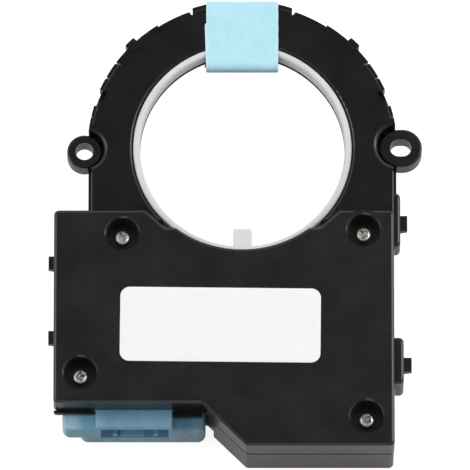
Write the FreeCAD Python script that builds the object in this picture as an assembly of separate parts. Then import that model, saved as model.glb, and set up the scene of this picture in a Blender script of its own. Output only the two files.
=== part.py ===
"""Steering angle sensor: a two-shell housing with a ring round the steering shaft.

The sensor lies on the flat floor of its case, label side up. The origin is on
the axis of the rotor, at the height of the case floor. +X is to the right of
the label, +Y points from the case to the ring, +Z points out of the label.
All sizes are in millimetres.
"""
import FreeCAD, Part
import math
import os
from FreeCAD import Vector

# Heights, counted from the face that the case rests on
case_height = 21.0
cover_depth = 7.8
raised_step = 3.6
ring_thickness = 7.2
ear_drop = 2.5

# Outline of the case below the ring, as seen from the label side
case_left = -47.05
case_right = 37.85
case_top = -17.4
case_bottom = -78.7
connector_edge = -67.6
slant_left = -10.2
slant_right = 1.0
notch_half_width = 24.4
notch_reach = 5.2
notch_drop = 4.6
case_corner_radius = 1.2
cover_edge_radius = 0.85
corner_step_x = -7.2
corner_step_height = 5.0

# Ring
ring_radius = 38.2
bore_radius = 27.6
bore_edge_radius = 0.75
ring_flat = 0.3
ring_edge_radius = 0.4
lip_radius = 25.62
lip_wall = 1.38
lip_rise = 1.4
lip_flare = 0.68
lip_flare_height = 1.7

# Walls
cover_wall = 1.8
cover_roof = 1.6
ring_roof = 1.5
case_wall = 1.6
case_floor = 1.6
shelf_thickness = 1.6
collar_wall = 1.5
throat_setback = 3.6
throat_overlap = 1.8
base_inset = 0.1
base_left_inset = 2.2
base_ring_inset = 0.5
base_ring_rise = 0.7
base_edge_radius = 0.3
groove_depth = 0.8
groove_height = 1.0

# Mounting ears
left_ear_reach = 1.7
left_ear_y = -0.15
left_ear_radius = 4.35
right_ear_reach = 1.8
right_ear_y = 0.8
right_ear_radius = 4.9
ear_hole = 4.5
ear_slot = 5.4
ear_sink = 0.7
ear_edge_radius = 0.5
ear_clearance = 0.55
ear_flare = 1.1
ear_wall = 0.5

# Rotor and its tooth ring
rotor_bore = 25.65
rotor_bore_clearance = 0.25
rotor_sink = 0.1
rotor_lift = 0.1
rotor_top_chamfer = 0.25
rotor_top_rounding = 1.0
gear_module = 0.75
rotor_teeth = 84
rotor_gear_thickness = 2.2
tooth_backlash = 0.14
mesh_clearance = 0.05
pressure_angle = 20.0
tab_width = 4.7
tab_tip_radius = 20.87
tab_height = 2.6
tab_corner_radius = 0.3
lip_clearance = 0.2
gear_guard = 0.5
collar_clearance = 0.15

# Measuring gears and their magnets
measuring_teeth = (26, 28)
measuring_angles = (252.0, 288.0)
measuring_gear_thickness = 2.0
measuring_gear_lift = 0.1
hub_radius = 4.2
hub_clearance = 0.08
magnet_diameter = 6.0
magnet_thickness = 2.5
magnet_clearance = 0.02
magnet_gap = 1.1
magnet_chamfer = 0.2
post_radius = 1.5
post_clearance = 0.1
post_depth = 1.2
post_end_clearance = 0.2

# Cover screws and the wells that they sit in
screw_places = ((-30.0, -23.5), (30.3, -22.6), (-40.4, -59.8), (30.9, -71.1))
screw_turns = (20.0, 38.0, 8.0, 52.0)
well_diameter = 8.1
well_depth = 5.3
well_floor = 1.3
well_wall = 1.2
well_edge_radius = 0.45
screw_head_diameter = 3.9
screw_head_height = 1.6
screw_head_dome = 0.45
screw_length = 8.0
screw_shank_diameter = 2.2
screw_hole = 2.8
screw_point = 1.2
screw_point_radius = 0.385
screw_end_room = 0.5
cross_width = 0.75
cross_length = 2.7
cross_floor_length = 1.5
cross_depth = 0.9
boss_diameter = 6.0

# Circuit board and gear tray
board_lift = 2.2
board_thickness = 1.6
board_clearance = 0.4
board_setback = 0.3
rest_length = 2.0
rest_width = 3.0
left_rests = (-30.0, -50.0)
right_rests = (-38.0, -58.0)
wall_overlap = 0.4
peg_diameter = 2.4
peg_head_diameter = 3.6
peg_head_height = 0.7
peg_places = ((-36.0, -45.0), (25.0, -57.0))
tray_thickness = 1.5
tray_places = ((-33.0, -52.0), (28.0, -46.0), (-2.0, -60.0), (0.0, -44.0))
tray_leg_diameter = 3.0
tray_clearance = 0.4
tray_bottom_edge = -63.0

# Connector, with the left and right side and the rise of each key on the socket floor
connector_left = -44.9
connector_right = -9.2
connector_front = -72.3
connector_back = -58.5
connector_base = 1.7
connector_drop = 1.2
connector_left_step = 4.1
connector_left_width = 4.4
connector_clearance = 0.1
connector_corner_radius = 2.0
connector_edge_radius = 0.8
block_left = -36.6
block_right = -17.4
block_rise = 0.4
block_edge_radius = 0.5
block_clearance = 0.5
socket_left = -35.3
socket_right = -18.4
socket_floor = 4.1
socket_roof = 1.0
socket_depth = 9.5
key_setback = 0.3
key_root = 0.2
keys = ((-32.35, -31.2, 2.2), (-30.6, -24.4, 1.0), (-22.2, -21.0, 2.2))
pin_pitch = 2.2
pin_columns = 4
pin_row_pitch = 2.2
pin_row_drop = 0.6
pin_width = 0.64
pin_reach = 7.5
pin_bend = (2.6, 4.6)
pin_tail = 0.9

# Lips of the cover over the connector: ends in X and reach from the wall
lips = ((-47.05, -36.7, 0.8), (-17.4, -10.0, 1.6))
lip_gap = 0.15
lip_height = 1.45
lip_end_radius = 0.7

# Chips and small parts on the board
sensor_chip_size = (4.4, 5.0, 1.2)
controller_size = (7.0, 7.0, 1.4)
controller_place = (3.0, -52.5)
transceiver_size = (3.9, 4.9, 1.5)
transceiver_place = (-10.0, -53.5)
regulator_size = (6.5, 6.1, 2.3)
regulator_place = (-26.0, -48.0)
resonator_size = (4.5, 2.0, 1.2)
resonator_place = (12.5, -55.0)
capacitor_size = (3.2, 1.6, 1.6)
capacitor_places = ((-18.0, -50.5), (-6.5, -59.5), (17.0, -62.0))
electrolytic_radius = 2.5
electrolytic_height = 4.4
electrolytic_edge_radius = 0.3
electrolytic_place = (22.0, -66.5)
foot_margin = 0.15
foot_height = 0.6
chip_chamfer = 0.15
small_part_chamfer = 0.12
lead_width = 0.35
lead_reach = 0.8
lead_thickness = 0.2

# Snap clips at the sides: side, tongue rise from the wall, tongue ends in Y, drop of the tongue
# top from the case top, catch ends in Y, catch reach from the wall
clips = (
    (1, 1.65, (-25.5, -11.5), 4.6, (-20.35, -16.4), 3.45),
    (1, 2.35, (-62.25, -50.28), 1.4, (-57.2, -53.55), 4.4),
    (-1, 0.0, (-31.9, -25.6), 2.0, (-30.45, -27.04), 1.45),
    (-1, 0.0, (-51.4, -45.1), 2.0, (-49.95, -46.55), 1.45),
)
tongue_thickness = 1.3
tongue_reach = 4.6
tongue_corner_radius = 1.2
tongue_edge_radius = 0.8
catch_drop = 0.6
catch_height = 3.2
catch_tip_height = 1.3
catch_clearance = 0.3

# Snap details on the rim of the ring, as angles from +Y mirrored left and right.
# Steps: start, end, rise over the ring wall, drop of the top from the ring face
rim_steps = (
    (11.5, 19.3, 0.85, 0.1),
    (20.0, 33.0, 0.4, 0.9),
    (33.0, 54.0, 1.05, 1.5),
    (54.8, 66.5, 0.8, 0.4),
    (73.0, 84.0, 0.65, 0.6),
)
shallow_ledge = (19.5, 33.0, 0.8, 0.9)
deep_ledge = (33.0, 54.0, 1.3, 1.5)
low_ledge = (66.5, 71.5, 1.2, 3.0)
rim_notches = ((19.6, 0.9, 1.1), (54.4, 0.7, 0.9), (61.3, 0.6, 0.6), (77.5, 0.5, 0.7))
lug_angle = 45.0
lug_width = 3.0
lug_reach = 2.05
lug_drop = 1.2
lug_corner_radius = 0.35

# Label on the case and tape round the ring
label_width = 50.0
label_height = 19.3
label_corner_radius = 2.4
label_thickness = 0.12
label_centre = (-5.5, -47.5)
label_turn = -0.6
tape_left = -9.5
tape_right = 9.1
tape_thickness = 0.2
tape_slack = 0.1
tape_rim_gap = 0.45
tape_fold_y = 19.3
tape_foot_y = 24.2
tape_corner_radius = 0.5
tape_fold_radius = 1.0

# Places and heights that follow from the driving sizes
ring_side = ring_radius - ring_flat
left_ear_x = -ring_side - left_ear_reach
right_ear_x = ring_side + right_ear_reach
ring_face = case_height - raised_step
parting = case_height - cover_depth
ring_bottom = ring_face - ring_thickness
ear_top = ring_face - ear_drop
shelf_top = ring_bottom + shelf_thickness
cover_ceiling = case_height - cover_roof
ring_ceiling = ring_face - ring_roof
lip_outer = lip_radius + lip_wall
lip_top = shelf_top + lip_rise
rotor_bottom = shelf_top + rotor_lift
rotor_top = ring_face - rotor_sink
sleeve_bottom = lip_top + rotor_lift
rotor_gear_top = rotor_bottom + rotor_gear_thickness
collar_end = rotor_gear_top + collar_clearance
rotor_outer = bore_radius - rotor_bore_clearance
rotor_pitch_radius = gear_module * rotor_teeth / 2
rotor_tip_radius = rotor_pitch_radius + gear_module
gear_room = rotor_tip_radius + gear_guard
collar_radius = bore_radius + collar_wall
tray_top = shelf_top
tray_bottom = tray_top - tray_thickness
measuring_bottom = tray_top + measuring_gear_lift
measuring_top = measuring_bottom + measuring_gear_thickness
board_bottom = case_floor + board_lift
board_top = board_bottom + board_thickness
hub_bottom = board_top + sensor_chip_size[2] + magnet_gap
well_bottom = case_height - well_depth
boss_top = well_bottom - well_floor
well_radius = well_diameter / 2
boss_radius = boss_diameter / 2
base_left = case_left + base_left_inset
base_right = case_right - base_inset
neck_left = screw_places[2][0] + boss_radius + board_clearance
connector_top = parting - connector_drop
block_top = parting + block_rise
socket_base = connector_base + socket_floor
socket_top = block_top - socket_roof
pin_middle = (socket_base + socket_top) / 2 - pin_row_drop
pin_rows = (pin_middle + pin_row_pitch / 2, pin_middle - pin_row_pitch / 2)
catch_top = parting - catch_drop
catch_bottom = catch_top - catch_height
tongue_bottom = parting - tongue_reach
corner_step_roof = corner_step_height + case_wall


def box(x0, y0, z0, x1, y1, z1):
    """Box between two opposite corners."""
    return Part.makeBox(x1 - x0, y1 - y0, z1 - z0, Vector(x0, y0, z0))


def cylinder(x, y, z0, z1, radius):
    """Upright cylinder from z0 to z1."""
    return Part.makeCylinder(radius, z1 - z0, Vector(x, y, z0))


def tube(z0, z1, inner, outer):
    """Upright tube round the rotor axis."""
    return cylinder(0, 0, z0, z1, outer).cut(cylinder(0, 0, z0, z1, inner))


def polygon(points):
    """Flat face at height zero from its corners."""
    corners = [Vector(x, y, 0) for x, y in points]
    return Part.Face(Part.makePolygon(corners + corners[:1]))


def prism(face, z0, z1):
    """Flat face carried upwards from z0 to z1."""
    base = face.copy()
    base.translate(Vector(0, 0, z0))
    return base.extrude(Vector(0, 0, z1 - z0))


def inset(face, distance):
    """The same face, smaller by an even margin, with its corners kept sharp."""
    return face.makeOffset2D(-distance, 2, False, False, True)


def polar(radius, angle):
    """Point at a radius and an angle counted from +X, in degrees."""
    turn = math.radians(angle)
    return radius * math.cos(turn), radius * math.sin(turn)


def upright_edges(shape):
    """Straight edges that run along Z."""
    found = []
    for edge in shape.Edges:
        along = edge.tangentAt(edge.FirstParameter)
        if isinstance(edge.Curve, Part.Line) and abs(along.z) > 0.999:
            found.append(edge)
    return found


def edges_at(shape, height):
    """Edges that lie flat at one height."""
    return [e for e in shape.Edges if abs(e.BoundBox.ZMin - height) < 1e-4 and e.BoundBox.ZLength < 1e-4]


def fused(shapes):
    """Several solids joined into one."""
    return shapes[0].multiFuse(shapes[1:]).removeSplitter()


def save(shape, node):
    """Write one piece to its own file."""
    shape.exportStep("parts/" + node + ".step")
    solids = len(shape.Solids)
    print("%-20s %d solid(s) %9.1f mm3 valid %s" % (node, solids, shape.Volume, shape.isValid()))


def case_face(left, right, bottom, edge):
    """Outline of the case: a box with a slanted corner and room for the bore at the top."""
    return polygon([
        (left, case_top),
        (-notch_half_width, case_top),
        (notch_reach - notch_half_width, case_top - notch_drop),
        (notch_half_width - notch_reach, case_top - notch_drop),
        (notch_half_width, case_top),
        (right, case_top),
        (right, bottom),
        (slant_right, bottom),
        (slant_left, edge),
        (left, edge),
    ])


def cover_case_face():
    """Outline of the raised part of the cover."""
    return case_face(case_left, case_right, case_bottom, connector_edge)


def base_case_face():
    """Outline of the case tray, which stands in from the cover all round."""
    shifted_left = case_left + base_left_inset - base_inset
    return inset(case_face(shifted_left, case_right, case_bottom, connector_edge), base_inset)


def ring_outline(side, radius, foot):
    """Half disc with straight sides that run down to the case."""
    level = math.sqrt(radius ** 2 - side ** 2)
    left_foot = Vector(-side, foot, 0)
    right_foot = Vector(side, foot, 0)
    left_top = Vector(-side, level, 0)
    right_top = Vector(side, level, 0)
    crown = Part.Arc(right_top, Vector(0, radius, 0), left_top).toShape()
    sides = [
        Part.makeLine(left_foot, right_foot),
        Part.makeLine(right_foot, right_top),
        crown,
        Part.makeLine(left_top, left_foot),
    ]
    return Part.Face(Part.Wire(sides))


def ring_face_shape(margin, foot):
    """Outline of the ring, smaller by a margin."""
    return ring_outline(ring_side - margin, ring_radius - margin, foot)


def sector(start, end, inner, outer, z0, z1):
    """Part of a ring between two angles counted from +X."""
    base = [
        Vector(*polar(inner, start), z0),
        Vector(*polar(outer, start), z0),
        Vector(*polar(outer, end), z0),
        Vector(*polar(inner, end), z0),
    ]
    middle = (start + end) / 2
    far_side = Part.Arc(base[1], Vector(*polar(outer, middle), z0), base[2]).toShape()
    near_side = Part.Arc(base[3], Vector(*polar(inner, middle), z0), base[0]).toShape()
    edges = [Part.makeLine(base[0], base[1]), far_side, Part.makeLine(base[2], base[3]), near_side]
    return Part.Face(Part.Wire(edges)).extrude(Vector(0, 0, z1 - z0))


def both_sides(angle):
    """An angle from +Y as two angles from +X, one for each side."""
    return 90 - angle, 90 + angle


def mirrored_sectors(start, end, inner, outer, z0, z1):
    """The same part of a ring on both sides, between two angles counted from +Y."""
    right = sector(90 - end, 90 - start, inner, outer, z0, z1)
    left = sector(90 + start, 90 + end, inner, outer, z0, z1)
    return [right, left]


def ledge_cuts(ledge):
    """Step cut into the rim between two angles, once on each side."""
    start, end, depth, drop = ledge
    low = ring_face - drop
    return mirrored_sectors(start, end, ring_radius - depth, ring_radius + 1, low, ring_face + 1)


def rim_walls():
    """Parts of the rim that stand out from the ring wall, once on each side."""
    walls = []
    for start, end, rise, drop in rim_steps:
        inner = ring_radius - cover_wall / 2
        outer = ring_radius + rise
        walls += mirrored_sectors(start, end, inner, outer, parting, ring_face - drop)
    return walls


def notch_cuts(notch):
    """V-shaped nick across the rim, once on each side."""
    angle, width, depth = notch
    rim = ring_radius + lug_reach
    across = math.degrees(width / ring_radius)
    cuts = []
    for turn in both_sides(angle):
        points = [polar(rim, turn - across), polar(ring_radius - depth, turn), polar(rim, turn + across)]
        cuts.append(prism(polygon(points), parting - 1, ring_face + 1))
    return cuts


def rim_lugs():
    """Snap lugs that stand out of the rim, one on each side."""
    lugs = []
    half = lug_width / 2
    for turn in both_sides(lug_angle):
        low = ring_radius - cover_wall / 2
        lug = box(low, -half, parting, ring_radius + lug_reach, half, ring_face - lug_drop)
        lug = lug.makeFillet(lug_corner_radius, upright_edges(lug))
        lug.rotate(Vector(0, 0, 0), Vector(0, 0, 1), turn)
        lugs.append(lug)
    return lugs


def mouth_section(inner, radius, top):
    """Section, in the X-Z plane, of a cutter that rounds the mouth of a hole."""
    centre = Vector(inner + radius, 0, top - radius)
    start = Vector(inner, 0, top - radius)
    end = Vector(inner + radius, 0, top)
    middle = centre + Vector(-radius * math.cos(math.pi / 4), 0, radius * math.sin(math.pi / 4))
    corner = Vector(inner / 2, 0, top)
    foot = Vector(inner / 2, 0, top - radius)
    edges = [
        Part.Arc(start, middle, end).toShape(),
        Part.makeLine(end, corner),
        Part.makeLine(corner, foot),
        Part.makeLine(foot, start),
    ]
    return Part.Face(Part.Wire(edges))


def rounded_mouth(inner, radius, top):
    """Cutter that rounds the mouth of a round hole at one height."""
    return mouth_section(inner, radius, top).revolve(Vector(0, 0, 0), Vector(0, 0, 1), 360)


def bore_flare(top):
    """Cutter that rounds the rim of the bore at one height."""
    return rounded_mouth(bore_radius, bore_edge_radius, top)


def drawn_out(x, y, z0, z1, radius, length):
    """Upright cylinder drawn out along X, so that it is a slot seen from above."""
    reach = (length - ear_hole) / 2
    if reach == 0:
        return cylinder(x, y, z0, z1, radius)
    ends = [cylinder(x + shift, y, z0, z1, radius) for shift in (-reach, reach)]
    return fused(ends + [box(x - reach, y - radius, z0, x + reach, y + radius, z1)])


def ear_places():
    """Centre, outer radius and hole length of each ear."""
    return (
        (left_ear_x, left_ear_y, left_ear_radius, ear_hole),
        (right_ear_x, right_ear_y, right_ear_radius, ear_slot),
    )


def ear_pocket(x, y, radius, length):
    """Room round an ear: a straight well with a rounded mouth in the ring face."""
    clear = radius + ear_clearance
    straight = drawn_out(x, y, parting - 1, ring_face + 1, clear, length)
    reach = (length - ear_hole) / 2
    mouths = []
    for shift in (-reach, reach):
        mouth = rounded_mouth(clear, ear_flare, ring_face)
        mouth.translate(Vector(x + shift, y, 0))
        mouths.append(mouth)
    return [straight] + mouths


def ear_surround(x, y, radius, length):
    """Wall of the cover that closes the ring off from an ear."""
    outer = radius + ear_clearance + ear_flare + ear_wall
    room = drawn_out(x, y, parting, ring_face, outer, length)
    return room.common(prism(ring_face_shape(0, case_top), parting, ring_face))


def well(x, y):
    """Tube with a floor that takes the head of a cover screw."""
    return cylinder(x, y, boss_top, case_height, well_radius + well_wall)


def well_cut(x, y):
    """Hollow of a screw well, with a rounded mouth and a hole for the screw."""
    hollow = cylinder(x, y, well_bottom, case_height + 1, well_radius)
    low = case_height - well_edge_radius
    mouth = Part.makeCone(well_radius, well_radius + well_edge_radius, well_edge_radius, Vector(x, y, low))
    return fused([hollow, mouth, cylinder(x, y, boss_top - 1, well_bottom, screw_hole / 2)])


def clip_tongue(clip):
    """Tongue of the cover that reaches down over a catch."""
    side, rise, ends, drop, catch, reach = clip
    face = cover_side(side) + rise
    inner = cover_side(side) - tongue_thickness
    top = case_height - drop
    tongue = box(inner, ends[0], tongue_bottom, face, ends[1], top)
    outer_corners = [e for e in upright_edges(tongue) if e.BoundBox.XMin > face - 1e-4]
    tongue = tongue.makeFillet(tongue_corner_radius, outer_corners)
    tongue = tongue.makeFillet(tongue_edge_radius, edges_at(tongue, top))
    window_low = catch_bottom - catch_clearance
    window_high = catch_top + catch_clearance
    near = catch[0] - catch_clearance
    far = catch[1] + catch_clearance
    tongue = tongue.cut(box(inner - 1, near, window_low, face + 1, far, window_high))
    clear = max(base_wall(side), ring_side - base_ring_inset) + catch_clearance
    tongue = tongue.cut(box(0, ends[0] - 1, 0, clear, ends[1] + 1, parting))
    return mirrored(tongue, side)


def base_wall(side):
    """Distance of the outer face of the case wall from the rotor axis."""
    return base_right if side > 0 else -base_left


def cover_side(side):
    """Distance of the outer face of the cover wall from the rotor axis."""
    return case_right if side > 0 else -case_left


def mirrored(shape, side):
    """The shape itself for the right side, its mirror image for the left side."""
    if side > 0:
        return shape
    return shape.mirror(Vector(0, 0, 0), Vector(1, 0, 0))


def clip_catch(clip):
    """Catch of the case that snaps through the window of a tongue."""
    side, rise, ends, drop, catch, reach = clip
    wall = base_wall(side)
    tip = cover_side(side) + reach
    profile = [
        Vector(wall - case_wall / 2, catch[0], catch_top),
        Vector(tip, catch[0], catch_top),
        Vector(tip, catch[0], catch_top - catch_tip_height),
        Vector(wall, catch[0], catch_bottom),
        Vector(wall - case_wall / 2, catch[0], catch_bottom),
    ]
    wedge = Part.Face(Part.makePolygon(profile + profile[:1])).extrude(Vector(0, catch[1] - catch[0], 0))
    return mirrored(wedge, side)


def gear_places():
    """Centre of each measuring gear, on the circle where it meshes with the rotor."""
    places = []
    for teeth, angle in zip(measuring_teeth, measuring_angles):
        distance = rotor_pitch_radius + gear_module * teeth / 2 + mesh_clearance
        places.append(polar(distance, angle))
    return places


def cover_hollow():
    """Space inside the cover, above the parting plane."""
    low = parting - 1
    case_room = prism(inset(cover_case_face(), cover_wall), low, cover_ceiling)
    ring_room = prism(ring_face_shape(cover_wall, case_top + cover_wall), low, ring_ceiling)
    side = ring_side - throat_setback - cover_wall
    back = case_top - cover_wall - throat_overlap
    front = case_top + cover_wall + throat_overlap
    throat = box(-side, back, low, side, front, ring_ceiling)
    hollow = fused([case_room, ring_room, throat])
    return hollow.cut(cylinder(0, 0, collar_end, cover_ceiling + 1, collar_radius))


def cover_lips():
    """Lips that lean out of the cover over the connector on both sides of its block."""
    bodies = []
    low = connector_top + lip_gap
    for left, right, reach in lips:
        lip = box(left, connector_edge - reach, low, right, connector_edge, low + lip_height)
        front = [e for e in upright_edges(lip) if e.BoundBox.YMax < connector_edge - 1e-4]
        bodies.append(lip.makeFillet(lip_end_radius, front))
    return bodies


def cover_body():
    """Outer form of the cover with rounded edges and no hollow."""
    raised = prism(cover_case_face(), parting, case_height)
    raised = raised.makeFillet(case_corner_radius, upright_edges(raised))
    raised = raised.makeFillet(cover_edge_radius, edges_at(raised, case_height))
    cap = prism(ring_face_shape(0, case_top - cover_wall), parting, ring_face)
    cap = cap.makeFillet(ring_edge_radius, edges_at(cap, ring_face))
    flare = bore_flare(ring_face).cut(raised)
    cap = cap.cut(flare)
    return raised.cut(bore_flare(case_height)), cap


def make_front_cover():
    """Cover with the ring face, the raised case lid, the screw wells and the snap rim."""
    raised, cap = cover_body()
    for ledge in (shallow_ledge, deep_ledge, low_ledge):
        cap = cap.cut(Part.makeCompound(ledge_cuts(ledge)))
    shell = fused([raised, cap])
    shell = shell.cut(cover_hollow())
    surrounds = [ear_surround(*place) for place in ear_places()]
    wells = [well(x, y) for x, y in screw_places]
    post_low = measuring_top - post_depth
    posts = [cylinder(x, y, post_low, cover_ceiling, post_radius) for x, y in gear_places()]
    clamps = [cylinder(x, y, tray_top, cover_ceiling, post_radius) for x, y in tray_places]
    tongues = [clip_tongue(clip) for clip in clips]
    snaps = rim_walls() + rim_lugs() + tongues + cover_lips()
    shell = fused([shell] + surrounds + wells + posts + clamps + snaps)
    cuts = [cylinder(0, 0, parting - 1, case_height + 1, bore_radius)]
    cuts.append(cylinder(0, 0, parting - 1, collar_end, gear_room))
    for place in ear_places():
        cuts += ear_pocket(*place)
    cuts += [well_cut(x, y) for x, y in screw_places]
    for notch in rim_notches:
        cuts += notch_cuts(notch)
    low = parting - 1
    high = block_top + block_clearance
    left = block_left - block_clearance
    right = block_right + block_clearance
    cuts.append(box(left, connector_edge - 1, low, right, connector_edge + cover_wall + 1, high))
    for cut in cuts:
        shell = shell.cut(cut)
    return shell.removeSplitter()


def ear(x, y, radius, length):
    """Ear with its foot in the ring wall, and its hole, drawn out sideways if it is a slot."""
    bottom = ring_bottom - ear_sink
    side = 1 if x > 0 else -1
    inner = side * (ring_side - base_ring_inset - case_wall)
    root = side * (ring_side - base_ring_inset)
    lug = drawn_out(x, y, bottom, ear_top, radius, length)
    lug = lug.makeFillet(ear_edge_radius, edges_at(lug, ear_top))
    hole = drawn_out(x, y, bottom - 1, ear_top + 1, ear_hole / 2, length)
    low, high = sorted((inner, root))
    foot = box(low, y - radius, ring_bottom, high, y + radius, parting)
    return fused([lug, foot]), hole


def base_tray(face, low, high):
    """Part of the deep tray with rounded upright corners."""
    tray = prism(face, low, high)
    return tray.makeFillet(case_corner_radius, upright_edges(tray))


def base_body():
    """Outer form of the case: the deep tray with its groove below the cover, and the ring."""
    groove_low = parting - groove_height
    tray = base_tray(base_case_face(), 0, groove_low)
    tray = tray.makeFillet(base_edge_radius, edges_at(tray, 0))
    rim = base_tray(inset(base_case_face(), groove_depth), case_floor, parting)
    tray = fused([tray, rim]).cut(cylinder(0, 0, -1, ring_bottom, bore_radius))
    foot = case_top - base_inset - case_wall
    ring = prism(ring_face_shape(base_ring_inset, foot), ring_bottom, parting)
    skirt = prism(ring_face_shape(-base_ring_rise, case_top), ring_bottom, groove_low)
    start = rim_steps[0][0]
    inner = ring_radius - base_ring_inset
    outer = ring_radius + base_ring_rise + 1
    skirt = skirt.cut(sector(90 - start, 90 + start, inner, outer, ring_bottom - 1, parting))
    for side, rise, ends, drop, catch, reach in clips:
        if ends[1] > case_top:
            inner = ring_side - base_ring_inset
            outer = ring_side + base_ring_rise + 1
            end = ends[1] + catch_clearance
            gap = box(inner, case_top - 1, ring_bottom - 1, outer, end, parting)
            skirt = skirt.cut(mirrored(gap, side))
    return fused([tray, ring, skirt])


def corner_block():
    """Filled corner of the case beside the connector, which is cut back below."""
    wall = connector_edge + base_inset + case_wall
    block = box(slant_left, case_bottom, 0, corner_step_x + case_wall, wall, corner_step_roof)
    return block.common(base_body())


def corner_cut():
    """Cutter that sets the corner beside the connector back below its step."""
    front = connector_edge + base_inset
    return box(slant_left - 1, case_bottom, -1, corner_step_x, front, corner_step_height)


def base_hollow():
    """Space inside the case, above its floor and above the ring shelf."""
    tray_room = prism(inset(base_case_face(), case_wall), case_floor, parting + 1)
    tray_room = tray_room.cut(cylinder(0, 0, case_floor, ring_bottom, bore_radius + case_wall))
    shelf = cylinder(0, 0, ring_bottom, shelf_top, gear_room)
    tray_room = tray_room.cut(shelf)
    margin = base_ring_inset + case_wall
    ring_room = prism(ring_face_shape(margin, case_top), shelf_top, parting + 1)
    side = ring_side - base_ring_inset - case_wall - throat_setback
    back = case_top - case_wall - throat_overlap
    front = case_top + throat_overlap
    throat = box(-side, back, shelf_top, side, front, parting + 1)
    return fused([tray_room, ring_room, throat])


def board_rests():
    """Short ribs at the walls that carry the circuit board."""
    low = case_floor - wall_overlap
    left = base_left + case_wall
    right = base_right - case_wall
    rests = []
    for y in left_rests:
        rests.append(box(left - wall_overlap, y, low, left + rest_length, y + rest_width, board_bottom))
    for y in right_rests:
        rests.append(box(right - rest_length, y, low, right + wall_overlap, y + rest_width, board_bottom))
    return rests


def board_pegs():
    """Pegs that locate the circuit board, with heads formed over it."""
    pegs = []
    low = case_floor - wall_overlap
    wide = peg_head_diameter / 2
    narrow = peg_diameter / 2
    for x, y in peg_places:
        stem = cylinder(x, y, low, board_bottom, wide)
        neck = cylinder(x, y, board_bottom, board_top, narrow)
        head = Part.makeCone(wide, narrow, peg_head_height, Vector(x, y, board_top))
        pegs += [stem, neck, head]
    return pegs


def make_rear_case():
    """Case with ring channel, ears, screw bosses, board rests, catches and connector window."""
    shell = base_body().cut(base_hollow())
    ears = [ear(*place) for place in ear_places()]
    bosses = [cylinder(x, y, case_floor / 2, boss_top, boss_radius) for x, y in screw_places]
    catches = [clip_catch(clip) for clip in clips]
    additions = [body for body, hole in ears] + bosses + board_rests() + board_pegs() + catches
    shell = fused([shell, corner_block()] + additions)
    cuts = [hole for body, hole in ears]
    cuts.append(corner_cut())
    cuts.append(cylinder(0, 0, -1, case_height, lip_radius))
    cuts.append(tube(shelf_top, case_height, lip_outer, gear_room))
    cuts.append(cylinder(0, 0, lip_top, case_height, gear_room))
    flare_low = Vector(0, 0, ring_bottom)
    cuts.append(Part.makeCone(lip_radius + lip_flare, lip_radius, lip_flare_height, flare_low))
    screw_end = well_bottom - screw_length - screw_end_room
    for x, y in screw_places:
        cuts.append(cylinder(x, y, screw_end, case_height, screw_shank_diameter / 2))
    gap = connector_clearance
    wall_front = connector_edge + base_inset
    wall_back = wall_front + case_wall + gap
    cuts.append(box(neck_left - gap, wall_front - 1, case_floor, connector_right, wall_back, parting + 1))
    for cut in cuts:
        shell = shell.cut(cut)
    return shell.removeSplitter()


def involute_angle(radius, base_radius):
    """Angle by which an involute has turned when it reaches a radius."""
    roll = math.acos(min(1.0, base_radius / radius))
    return math.tan(roll) - roll


def gear_face(teeth, first_tooth):
    """Outline of a spur gear, with one tooth centred on the angle first_tooth."""
    pitch = gear_module * teeth / 2
    tip = pitch + gear_module
    root = pitch - 1.25 * gear_module
    base_radius = pitch * math.cos(math.radians(pressure_angle))
    half_pitch = (math.pi * gear_module / 2 - tooth_backlash) / (2 * pitch)
    spread = involute_angle(pitch, base_radius)
    levels = (max(root, base_radius), pitch, tip)
    widths = [half_pitch + spread - involute_angle(level, base_radius) for level in levels]
    points = []
    for index in range(teeth):
        centre = math.radians(first_tooth) + 2 * math.pi * index / teeth
        flank = [(root, -widths[0])] if root < base_radius else []
        flank += [(level, -width) for level, width in zip(levels, widths)]
        for radius, turn in flank:
            points.append((radius * math.cos(centre + turn), radius * math.sin(centre + turn)))
        for radius, turn in reversed(flank):
            points.append((radius * math.cos(centre - turn), radius * math.sin(centre - turn)))
    return polygon(points)


def make_rotor():
    """Sleeve round the shaft with its tooth ring and one drive tab."""
    teeth = prism(gear_face(rotor_teeth, 0), rotor_bottom, rotor_gear_top)
    teeth = teeth.cut(cylinder(0, 0, rotor_bottom - 1, rotor_gear_top + 1, rotor_bore))
    teeth = teeth.cut(cylinder(0, 0, rotor_bottom - 1, sleeve_bottom, lip_outer + lip_clearance))
    sleeve = tube(sleeve_bottom, rotor_top, rotor_bore, rotor_outer)
    inner_rim = [e for e in edges_at(sleeve, rotor_top) if e.BoundBox.XMax < rotor_bore + 1e-4]
    sleeve = sleeve.makeFillet(rotor_top_rounding, inner_rim)
    outer_rim = [e for e in edges_at(sleeve, rotor_top) if e.BoundBox.XMax > rotor_outer - 1e-4]
    sleeve = sleeve.makeChamfer(rotor_top_chamfer, outer_rim)
    half = tab_width / 2
    overlap = (rotor_bore + rotor_outer) / 2
    tab = box(-half, -overlap, sleeve_bottom, half, -tab_tip_radius, sleeve_bottom + tab_height)
    tip_corners = [e for e in upright_edges(tab) if e.BoundBox.YMax > -tab_tip_radius - 1e-4]
    tab = tab.makeFillet(tab_corner_radius, tip_corners)
    return fused([teeth, sleeve, tab])


def meshing_tooth(teeth, angle):
    """Angle of a tooth on a measuring gear so that it meshes with the rotor at rest."""
    step = 360 / rotor_teeth
    off_tooth = (angle + step / 2) % step - step / 2
    gap = angle + 180 + off_tooth * rotor_teeth / teeth
    return gap + 180 / teeth


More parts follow.
